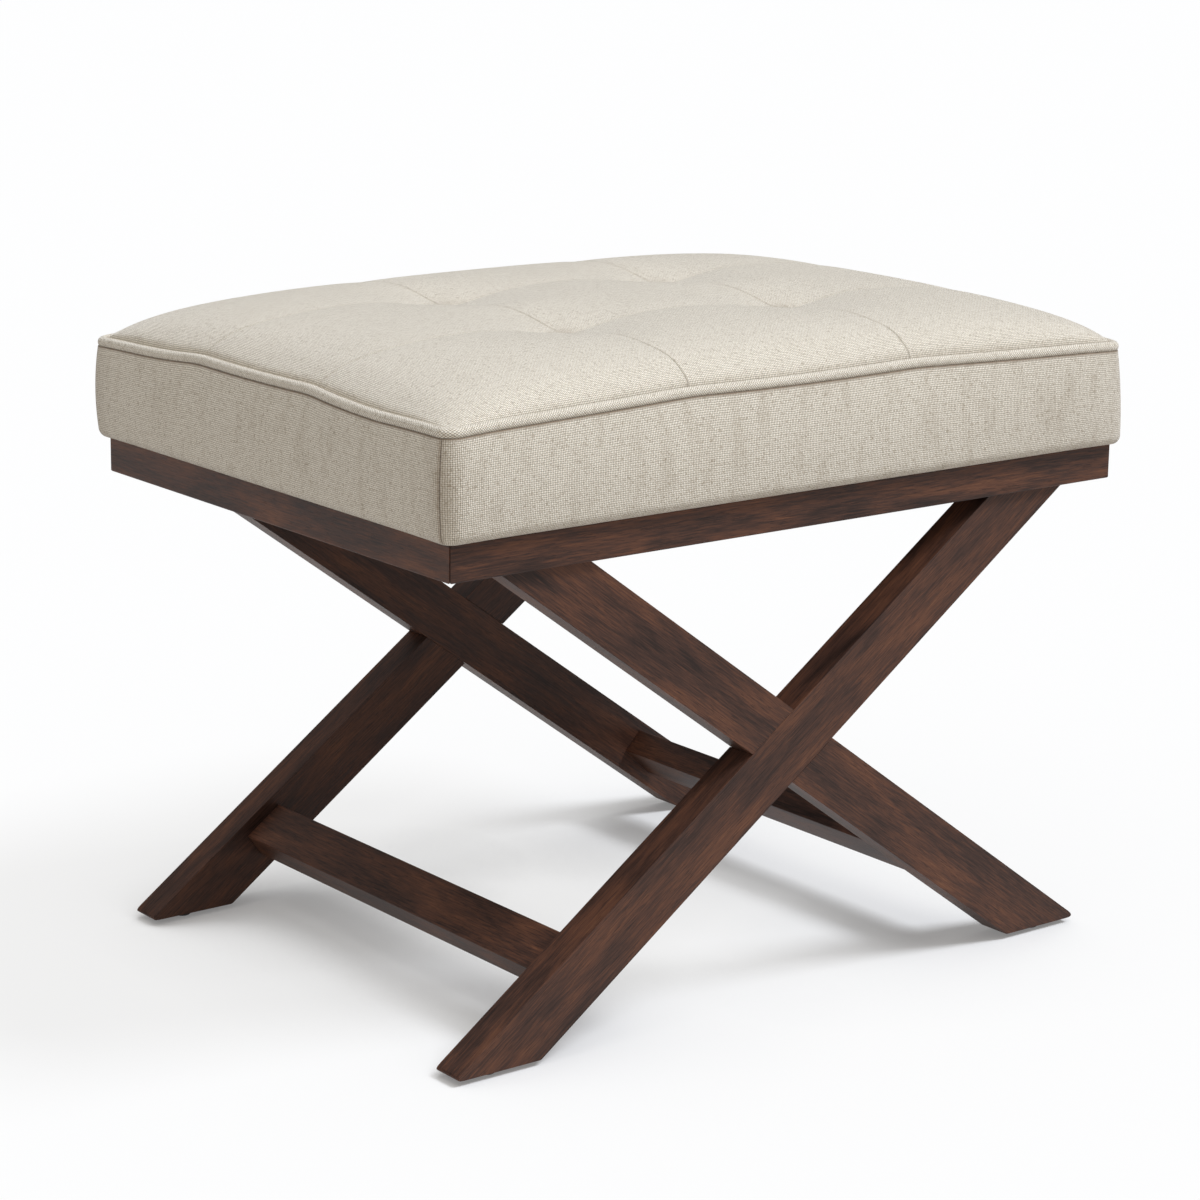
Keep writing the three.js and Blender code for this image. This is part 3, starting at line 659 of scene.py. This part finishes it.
def sewn_panel(place, x_range, y_range, seams, material, swell, number):
    """A panel of the top: its outer face rolls into each seam, and it has the cloth's thickness."""
    sizes = settings().cushion
    r = sizes.seam_roll
    fine = r * np.array([0.0, 0.12, 0.35, 0.65, 1.0, 1.5, 2.3, 3.5, 5.5, 9.0])
    x, y = grid(graded(*x_range, PANEL_STEP, fine), graded(*y_range, PANEL_STEP, fine))
    outer = top_surface(x, y, swell)
    # The threads keep their distance on the slopes, and each panel is cut from its own place in the cloth.
    cloth = np.full_like(outer, number)
    cloth[0, :, 0] = cloth[:, 0, 1] = 0
    cloth[1:, :, 0] = np.cumsum(np.linalg.norm(np.diff(outer, axis=0), axis=-1), axis=0)
    cloth[:, 1:, 1] = np.cumsum(np.linalg.norm(np.diff(outer, axis=1), axis=-1), axis=1)
    inner = outer - (0, 0, sizes.cloth)
    fall = np.zeros_like(x)
    # Painted shade round each tuft and, at each seam, in a thin line.
    painted_crease_shade = 0.8 * near(np.hypot(np.abs(x) - SEAM_X, np.abs(y) - SEAM_Y), 10 * MM)
    distances = (x - x_range[0], x_range[1] - x, y - y_range[0], y_range[1] - y)
    for is_seam, distance in zip(seams, distances):
        if is_seam:
            painted_crease_shade = np.maximum(painted_crease_shade, 0.45 * near(distance, 1 * MM))
            fall = np.maximum(fall, roll(distance, r))
    outer[..., 2] -= fall
    return piece(f"linen_top_{place}", f"top_panel_{place}", *closed_sheet(outer, inner), material, "linen",
                 cloth, painted_crease_shade)


def top_panels(material, swell):
    """Nine panels, three by three, with a fine gap at each seam."""
    half_gap = settings().cushion.seam_gap / 2
    xs = (-TOP_HALF_LENGTH, -SEAM_X, SEAM_X, TOP_HALF_LENGTH)
    ys = (-TOP_HALF_DEPTH, -SEAM_Y, SEAM_Y, TOP_HALF_DEPTH)
    made = []
    for i, row in enumerate(("front", "centre", "back")):
        for j, column in enumerate(("left", "middle", "right")):
            seams = (j > 0, j < 2, i > 0, i < 2)
            x_range = (xs[j] + half_gap * seams[0], xs[j + 1] - half_gap * seams[1])
            y_range = (ys[i] + half_gap * seams[2], ys[i + 1] - half_gap * seams[3])
            made.append(sewn_panel(f"{row}_{column}", x_range, y_range, seams, material, swell, len(made)))
    return made


def boxing(material, swell):
    """The four side strips, from the turned-under edge up to the welt, rolled into the corner seams."""
    sizes = settings().cushion
    profile = boxing_profile()
    lip_height = profile[-1, 1]
    clear = WELT_RADIUS + 0.2 * MM
    made = []
    for number, side in enumerate(SIDES):
        run = half_run(side)
        r = sizes.seam_roll
        fine = r * np.array([0.0, 0.12, 0.35, 0.65, 1.0, 2.0, 4.0, 7.0, 11.0]) / run
        edge = 1 - sizes.seam_gap / 2 / run
        along, row = grid(graded(-edge, edge, STRIP_STEP / run, fine), np.arange(len(profile)))
        offset, height, climbed = np.moveaxis(profile[row], -1, 0)
        to_seam = (edge - np.abs(along)) * run
        outer = boxing_points(side, along, offset, height, roll(to_seam, r), swell)
        # The inner face lies a cloth's thickness inside, and its top hugs the cord.
        turned = np.clip((height - CLOTH_BOTTOM) / sizes.lower_radius, 0, 1)
        inner_offset = np.where(turned < 1, offset * (1 - sizes.cloth / TURN_UNDER), 0.0)
        inner_height = height + sizes.cloth * (1 - turned) * (turned < 1)
        below_cord = np.clip(WELT_HEIGHT - height, 0, clear)
        cord_side = WELT_RADIUS - np.sqrt(clear ** 2 - below_cord ** 2)
        thickness = np.minimum(sizes.cloth * turned, cord_side)
        inner = boxing_points(side, along, inner_offset, inner_height, thickness, swell)
        cloth = np.stack([along * run, climbed, np.full_like(along, len(SIDES) ** 2 + number)], -1)
        # Painted shade: darkest in the corner seams and in the thin line under the cord, and lighter over a
        # wider band beside the corner seams.
        painted_crease_shade = np.maximum(near(to_seam, 2 * MM), 1.8 * near(lip_height - height, 1.1 * MM))
        painted_crease_shade = np.maximum(painted_crease_shade, 0.4 * near(to_seam, 13 * MM))
        made.append(piece(f"linen_boxing_{side}", f"boxing_{side}", *closed_sheet(outer, inner), material,
                          "linen", cloth, painted_crease_shade))
    return made


def welt(material):
    """Cord in cloth round the top edge, pulled in and up at the seams."""
    sizes = settings().cushion
    path = []
    # It starts and ends at the back right corner.
    for side in ("back", "left", "front", "right"):
        along = np.linspace(-1, 1, CORD_STEPS + 1)[:-1]
        along = np.sign(along) * (1 - (1 - np.abs(along)) ** 1.25)
        inset = np.full_like(along, -WELT_RADIUS)
        strength = side_pull(side, *outline(side, along, inset))
        x, y = outline(side, along, inset - sizes.draw_in * strength)
        path.append(np.stack([x, y, WELT_HEIGHT + sizes.draw_up * strength], -1))
    path = np.concatenate(path)
    count = len(path)
    path = uneven(path, np.ones(count))
    tangent = unit(np.roll(path, -1, 0) - np.roll(path, 1, 0))
    level = unit(np.cross(tangent, (0.0, 0.0, 1.0)))
    upward = np.cross(level, tangent)
    # Each ring starts inside, where the cord lies against the cushion.
    angles = math.pi + np.arange(CORD_SIDES) / CORD_SIDES * 2 * math.pi
    ring = np.cos(angles)[None, :, None] * level[:, None] + np.sin(angles)[None, :, None] * upward[:, None]
    vertices = (path[:, None] + WELT_RADIUS * ring).reshape(-1, 3)
    i, j = [index.ravel() for index in grid(np.arange(count), np.arange(CORD_SIDES))]
    here, ahead = i * CORD_SIDES, (i + 1) % count * CORD_SIDES
    after = (j + 1) % CORD_SIDES
    faces = np.stack([ahead + j, ahead + after, here + after, here + j], 1)
    # The strip round the cord is cut on the bias, so its threads cross at 45 degrees.
    run = np.cumsum(np.linalg.norm(path - np.roll(path, 1, 0), axis=1))[:, None] * math.sqrt(0.5)
    around = (angles * WELT_RADIUS)[None] * math.sqrt(0.5)
    cloth = np.stack([run + around, run - around, np.zeros((count, CORD_SIDES))], -1)
    # Painted shade on the inner side of the cord, where it lies against the cushion.
    painted_crease_shade = near(np.cos(angles) + 1, 0.5)
    return piece("linen_welt", "welt", vertices, faces, material, "linen", cloth, painted_crease_shade)


def top_cells():
    """Corners of coarse cells over the whole top."""
    return grid(np.linspace(-TOP_HALF_LENGTH, TOP_HALF_LENGTH, CELL_COLUMNS + 1),
                np.linspace(-TOP_HALF_DEPTH, TOP_HALF_DEPTH, CELL_ROWS + 1))


def foam_block(material, swell):
    """The foam block under the cover, with the same crown and dips."""
    clear = settings().cushion.cloth + 0.8 * MM
    shrink = 1 - 1.2 * MM / TOP_HALF_DEPTH
    half_length, half_depth = TOP_HALF_LENGTH * shrink, TOP_HALF_DEPTH * shrink
    x, y = top_cells()
    outer = top_surface(x, y, swell) * (shrink, shrink, 1) - (0, 0, clear)
    lower_x, lower_y = rounded(x * shrink, y * shrink, half_length, half_depth, 4 * MM)
    inner = np.stack([lower_x, lower_y, np.full_like(x, BOARD_TOP + 0.3 * MM)], -1)
    return piece("cushion_foam", "foam_core", *closed_sheet(outer, inner), material, "foam")


def dust_cover(material):
    """Thin cloth stretched under the board with a folded hem: it dips between its staples."""
    low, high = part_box("dust_cover")
    sheet, hem, pitch, dip = 0.25 * MM, 9 * MM, 38 * MM, 0.3 * MM
    step, fold = 6 * MM, [0.0, hem, hem + 0.6 * MM]
    x, y = grid(graded(low.x, high.x, step, fold), graded(low.y, high.y, step, fold))
    from_x, from_y = high.x - np.abs(x), high.y - np.abs(y)
    from_edge = np.minimum(from_x, from_y)
    # Staples pull the edge up at every pitch, and the creases between them fade over the hem.
    wave = np.where(from_x < from_y, np.sin(y * math.pi / pitch), np.sin(x * math.pi / pitch)) ** 2
    second_layer = np.where(from_edge <= hem, sheet, 0)
    under = high.z - sheet - second_layer - dip * wave * near(from_edge, 3 * hem)
    inner = np.stack([x, y, under + sheet + second_layer], -1)
    outer = np.stack([x, y, under], -1)
    made = piece("cambric_dust_cover", "dust_cover", *closed_sheet(inner, outer), material, "cambric")
    flat = (high.x - low.x, high.y - low.y)
    return made, flat


# The cover settles over the foam


def smooth_sample(values, along, across):
    """Catmull-Rom samples of a grid of values, at shares of its length and width."""
    def taps(place, count):
        place = np.clip(place * (count - 1), 0, count - 1)
        whole = np.minimum(np.floor(place), count - 2).astype(int)
        t = place - whole
        shares = ((-t + 2 * t ** 2 - t ** 3) / 2, (2 - 5 * t ** 2 + 3 * t ** 3) / 2,
                  (t + 4 * t ** 2 - 3 * t ** 3) / 2, (t ** 3 - t ** 2) / 2)
        return [(np.clip(whole + step - 1, 0, count - 1), part) for step, part in enumerate(shares)]

    return sum(values[i, j] * (row_share * column_share)[..., None]
               for i, row_share in taps(along, values.shape[0])
               for j, column_share in taps(across, values.shape[1]))


def settled(vertices, faces, held):
    """Where the sewn cover comes to rest when the foam presses on it. Each point is held by its share."""
    mesh = bpy.data.meshes.new("settling_cover")
    mesh.from_pydata(vertices.tolist(), [], faces.tolist())
    cover = placed("settling_cover", mesh)
    pins = cover.vertex_groups.new(name="held")
    for index, part in enumerate(held):
        if part > 0.01:
            pins.add([index], float(part), "REPLACE")
    cloth = cover.modifiers.new("cloth", "CLOTH")
    choices = {"quality": 8, "mass": 0.3, "tension_stiffness": 15, "compression_stiffness": 15,
               "shear_stiffness": 5, "bending_stiffness": 0.5, "vertex_group_mass": "held",
               "use_pressure": True, "uniform_pressure_force": settings().cushion.pressure}
    for name, value in choices.items():
        setattr(cloth.settings, name, value)
    cloth.settings.effector_weights.gravity = 0
    cloth.collision_settings.use_collision = False
    cloth.point_cache.frame_start, cloth.point_cache.frame_end = 1, SETTLING_FRAMES
    scene = bpy.context.scene
    for number in range(1, SETTLING_FRAMES + 1):
        scene.frame_set(number)
    result = cover.evaluated_get(bpy.context.evaluated_depsgraph_get()).to_mesh()
    places = np.empty(len(result.vertices) * 3)
    result.vertices.foreach_get("co", places)
    scene.frame_set(1)
    bpy.data.objects.remove(cover)
    return places.reshape(-1, 3)


def relaxed_swell():
    """How far the cover settles from its drafted shape, on the top and on each side: it is held at the
    welt, tufts, corners and lower edge, and blown up from inside."""
    sizes = settings().cushion
    x, y = top_cells()
    drafted = [top_surface(x, y)]
    border = np.ones_like(x)
    border[1:-1, 1:-1] = 0
    from_x, from_y = np.abs(x) - SEAM_X, np.abs(y) - SEAM_Y
    tuft = np.exp(-(from_x ** 2 + from_y ** 2) / (9 * MM) ** 2)
    on_seam = np.maximum(np.abs(from_x) < 1 * MM, np.abs(from_y) < 1 * MM)
    # The corners of the foam block are stiffer than its middle.
    block_corner = np.abs(x * y / (TOP_HALF_LENGTH * TOP_HALF_DEPTH)) ** 4
    foam = sizes.foam_hold + (sizes.corner_hold - sizes.foam_hold) * block_corner
    held = [np.maximum.reduce([border, tuft, sizes.seam_hold * on_seam, foam])]
    # The top swells from a slightly lower crown.
    starts = [drafted[0].copy()]
    starts[0][..., 2] -= (1 - sizes.start_share) * (starts[0][..., 2] - WELT_HEIGHT) * (1 - tuft)
    low, high = side_heights()
    for side in SIDES:
        half = HALF_LENGTH if side in ("front", "back") else HALF_DEPTH
        columns = 2 * round(half / CELL)
        along, climb = grid(np.linspace(-1, 1, columns + 1), np.linspace(0, 1, SIDE_CELL_ROWS + 1))
        none = np.zeros_like(along)
        drafted.append(boxing_points(side, along, none, low + climb * (high - low), none))
        starts.append(drafted[-1])
        edge = np.ones_like(along)
        edge[1:-1, 1:-1] = sizes.foam_hold
        held.append(edge)
    counts = np.cumsum([0] + [part.size for part in held])
    places = settled(
        np.concatenate([start.reshape(-1, 3) for start in starts]),
        np.concatenate([grid_faces(*part.shape, start=int(first)) for part, first in zip(held, counts)]),
        np.concatenate([part.ravel() for part in held]))
    moves = []
    for shape, first, last in zip(drafted, counts, counts[1:]):
        move = places[first:last].reshape(shape.shape) - shape
        size = np.linalg.norm(move, axis=-1, keepdims=True)
        moves.append(move * np.minimum(1, sizes.most_move / np.maximum(size, 1e-9)))
    return dict(zip(("top", *SIDES), moves))


# Wood


def joined_copy(node):
    """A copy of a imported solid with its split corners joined."""
    form = bmesh.new()
    form.from_mesh(NODES[node].data)
    bmesh.ops.remove_doubles(form, verts=form.verts, dist=1e-6)
    return form


def edge_direction(edge):
    return (edge.verts[1].co - edge.verts[0].co).normalized()


def sharp_edges(form):
    return [e for e in form.edges if len(e.link_faces) == 2 and e.calc_face_angle() > SHARP_ANGLE]


def ease(form, edges, radius, segments):
    bmesh.ops.bevel(form, geom=edges, offset=radius, segments=segments, profile=0.5, affect="EDGES",
                    clamp_overlap=True)


def eased_blank(node):
    """The board before its joints were cut: the hull of the solid with every sharp edge eased."""
    wood = settings().wood
    form = joined_copy(node)
    hull = bmesh.ops.convex_hull(form, input=form.verts)
    outside = set(hull["geom"])
    loose = [g for g in hull["geom_interior"] + hull["geom_unused"] if isinstance(g, bmesh.types.BMVert)]
    bmesh.ops.delete(form, geom=[f for f in form.faces if f not in outside], context="FACES_ONLY")
    bmesh.ops.delete(form, geom=loose, context="VERTS")
    bmesh.ops.delete(form, geom=[e for e in form.edges if not e.link_faces], context="EDGES")
    bmesh.ops.delete(form, geom=[v for v in form.verts if not v.link_faces], context="VERTS")
    bmesh.ops.dissolve_limit(form, angle_limit=math.radians(1), verts=form.verts, edges=form.edges)
    bmesh.ops.recalc_face_normals(form, faces=form.faces)
    direction = edge_direction(max(form.edges, key=lambda e: e.calc_length()))
    # The toes are rounded more than the long arrises.
    toes = [e for e in sharp_edges(form)
            if max(v.co.z for v in e.verts) < TOE_HEIGHT and abs(edge_direction(e).y) > 0.9]
    if toes:
        ease(form, toes, wood.toe, segments=4)
    ease(form, sharp_edges(form), wood.arris, segments=3)
    return form, direction


def temporary(name, form):
    mesh = bpy.data.meshes.new(name)
    form.to_mesh(mesh)
    form.free()
    return placed(name, mesh)


def walnut_board(node, index, material):
    """A board with eased arrises that keeps the joints of its solid, and the direction of its grain."""
    form, direction = eased_blank(node)
    blank = temporary(f"blank_{node}", form)
    solid = temporary(f"solid_{node}", joined_copy(node))
    keep = blank.modifiers.new("joints", "BOOLEAN")
    keep.operation = "INTERSECT"
    keep.solver = "EXACT"
    keep.object = solid
    mesh = bpy.data.meshes.new_from_object(blank.evaluated_get(bpy.context.evaluated_depsgraph_get()))
    bpy.data.objects.remove(blank)
    bpy.data.objects.remove(solid)
    mesh.name = f"walnut_{node}"
    mesh.materials.clear()
    mesh.materials.append(material)
    mesh.shade_flat()
    low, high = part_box(node)
    middle = (low + high) / 2
    thick = Vector((0, 0, 1)) if abs(direction.z) < 0.1 else Vector((0, 1, 0))
    wide = direction.cross(thick)
    # Each board is cut from its own place in the tree.
    start = Vector((index * 1.37, index * 0.211, index * 0.173))
    turn = Matrix((direction, wide, thick))
    grain = np.concatenate([turn @ (vertex.co - middle) + start for vertex in mesh.vertices])
    mesh.attributes.new("grain", "FLOAT_VECTOR", "POINT").data.foreach_set("vector", grain)
    return fitted(f"walnut_{node}", mesh, node)


def dress(prefixes, material):
    """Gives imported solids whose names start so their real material."""
    for name, node in NODES.items():
        if name.startswith(prefixes):
            node.data.materials.clear()
            node.data.materials.append(material)


# Stage


def pale_floor():
    """A pale paper floor. The camera and reflections see it whiter, with its shadows."""
    look = settings().stage
    mesh = bpy.data.meshes.new("studio_floor")
    corners = [(x * FLOOR_HALF, y * FLOOR_HALF, 0) for x, y in ((-1, -1), (1, -1), (1, 1), (-1, 1))]
    mesh.from_pydata(corners, [], [(0, 1, 2, 3)])
    material, add, shader = surface_of("painted_paper")
    feed(shader, {"Base Color": rgba(look.floor), "Roughness": 0.9, "IOR": 1.45, "Specular IOR Level": 0.1})
    paths = add("LightPath").outputs
    seen = add("Math", {0: paths["Is Glossy Ray"], 1: paths["Is Transmission Ray"]}, operation="MAXIMUM")
    seen = add("Math", {0: paths["Is Camera Ray"], 1: seen}, operation="MAXIMUM")
    # The shadows are deepest close to the stool.
    opening = add("AmbientOcclusion", {"Distance": look.contact_reach}).outputs["AO"]
    contact = add("MapRange", {"Value": opening, "From Min": 0.97, "From Max": 0.62, "To Max": 0.76})
    paper = add("BsdfDiffuse", {"Color": rgba(look.far_paper)})
    glow = add("Emission", {"Color": WHITE, "Strength": look.glow})
    close = add("BsdfDiffuse", {"Color": rgba(look.close_paper)})
    shown = add("MixShader", {0: contact, 1: add("AddShader", {0: paper, 1: glow}), 2: close})
    mixed = add("MixShader", {0: seen, 1: shader, 2: shown})
    feed(material.node_tree.nodes["Material Output"], {"Surface": mixed})
    mesh.materials.append(material)
    placed("studio_floor", mesh)


def soft_light():
    """A key light, a broad weaker light from the left, and a soft fill from overhead."""
    look = settings().stage
    world = bpy.data.worlds.new("studio")
    world.use_nodes = True
    add = partial(add_node, world.node_tree)
    fill = world.node_tree.nodes["Background"]
    # The fill fades towards the horizon.
    height = add("SeparateXYZ", {0: add("TexCoord").outputs["Generated"]}).outputs["Z"]
    strength = add("MapRange", {"Value": height, "To Max": look.fill_strength})
    feed(fill, {"Color": WHITE, "Strength": strength})
    paths = add("LightPath").outputs
    seen = add("Math", {0: paths["Is Camera Ray"], 1: paths["Is Transmission Ray"]}, operation="MAXIMUM")
    white = add("Background", {"Color": WHITE, "Strength": 0.98})
    mixed = add("MixShader", {0: seen, 1: fill, 2: white})
    feed(world.node_tree.nodes["World Output"], {"Surface": mixed})
    bpy.context.scene.world = world
    lamps = (
        # From the right of the picture, a little to the front and above, and slightly cool.
        ("key_light", (0.455, -0.41, 0.79), look.key_strength, look.key_angle, (0.965, 1.0, 1.06)),
        # From the left of the picture, slightly warm.
        ("side_light", (-0.6, -0.4, 0.7), look.side_strength, look.side_angle, (1.07, 1.0, 0.9)),
    )
    for name, towards, strength, width, tint in lamps:
        lamp = bpy.data.lights.new(name, "SUN")
        lamp.energy = strength
        lamp.angle = width
        lamp.color = tint
        placed(name, lamp).rotation_euler = Vector(towards).to_track_quat("Z", "Y").to_euler()


def photograph_camera():
    """The photograph's camera, fitted to the straight edges of the wood."""
    lens = bpy.data.cameras.new("photograph_camera")
    lens.sensor_width = 36.0
    lens.lens = 101.257
    lens.clip_end = 100.0
    camera = placed("photograph_camera", lens)
    # The columns are the camera's right, up and back, and its place.
    camera.matrix_world = Matrix((
        (0.79197, 0.13603, -0.59521, -1.49439),
        (-0.61042, 0.19745, -0.76708, -1.91355),
        (0.01318, 0.97083, 0.23942, 0.84821),
        (0, 0, 0, 1),
    ))
    bpy.context.scene.camera = camera


# Operators


class STOOL_OT_walnut(bpy.types.Operator):
    """Ease and finish the rails, legs and stretchers"""
    bl_idname = "stool.walnut"
    bl_label = "Walnut frame"

    def execute(self, context):
        material = stained_walnut()
        for index, node in enumerate(WALNUT_BOARDS):
            walnut_board(node, index, material)
        return {"FINISHED"}


class STOOL_OT_fixings(bpy.types.Operator):
    """Finish the dowels, tongues, seat board, screws, toggles, ties and glides"""
    bl_idname = "stool.fixings"
    bl_label = "Fixings and glides"

    def execute(self, context):
        dress(("head_dowel", "stretcher_dowel"), turned_beech())
        dress(("mitre_tongue", "seat_board"), sanded_plywood())
        dress(("head_screw", "board_screw"), zinc_plated_steel())
        dress(("glide", "tuft_toggle"), moulded_nylon())
        dress(("tuft_tie",), waxed_twine())
        return {"FINISHED"}


class STOOL_OT_dust_cover(bpy.types.Operator):
    """Stretch the dust cover under the seat board"""
    bl_idname = "stool.dust_cover"
    bl_label = "Dust cover"

    def execute(self, context):
        cover, flat = dust_cover(nonwoven_cambric())
        return {"FINISHED"}


class STOOL_OT_cushion(bpy.types.Operator):
    """Sew the linen cover round the foam"""
    bl_idname = "stool.cushion"
    bl_label = "Cushion"

    def execute(self, context):
        swell = relaxed_swell()
        foam = foam_block(cut_foam(), swell)
        linen = woven_linen()
        for part in [*top_panels(linen, swell), *boxing(linen, swell), welt(linen)]:
            part.parent = foam
        return {"FINISHED"}


class STOOL_OT_stage(bpy.types.Operator):
    """Place the floor, the lights and the camera"""
    bl_idname = "stool.stage"
    bl_label = "Studio"

    def execute(self, context):
        pale_floor()
        soft_light()
        photograph_camera()
        return {"FINISHED"}


class STOOL_PT_panel(bpy.types.Panel):
    """Pieces of the stool"""
    bl_idname = "STOOL_PT_panel"
    bl_label = "Stool"
    bl_space_type = "VIEW_3D"
    bl_region_type = "UI"
    bl_category = "Stool"

    def draw(self, context):
        for operator in OPERATORS:
            self.layout.operator(operator.bl_idname)
        for group in ("cushion", "wood", "linen", "stage"):
            sizes = getattr(context.scene.stool, group)
            box = self.layout.box()
            box.label(text=group.capitalize())
            for name in sizes.bl_rna.properties.keys():
                if name not in ("rna_type", "name"):
                    box.prop(sizes, name)


OPERATORS = (STOOL_OT_walnut, STOOL_OT_fixings, STOOL_OT_dust_cover, STOOL_OT_cushion, STOOL_OT_stage)
CLASSES = (CushionSizes, WoodFinish, LinenFinish, StageLook, StoolSettings, *OPERATORS, STOOL_PT_panel)


def register():
    for item in CLASSES:
        bpy.utils.register_class(item)
    bpy.types.Scene.stool = PointerProperty(type=StoolSettings)


def unregister():
    del bpy.types.Scene.stool
    for item in reversed(CLASSES):
        bpy.utils.unregister_class(item)


def main():
    register()
    scene = bpy.context.scene
    scene.view_settings.view_transform = "Standard"
    bpy.ops.stool.walnut()
    bpy.ops.stool.fixings()
    bpy.ops.stool.dust_cover()
    bpy.ops.stool.cushion()
    bpy.ops.stool.stage()


if __name__ == "__main__":
    main()
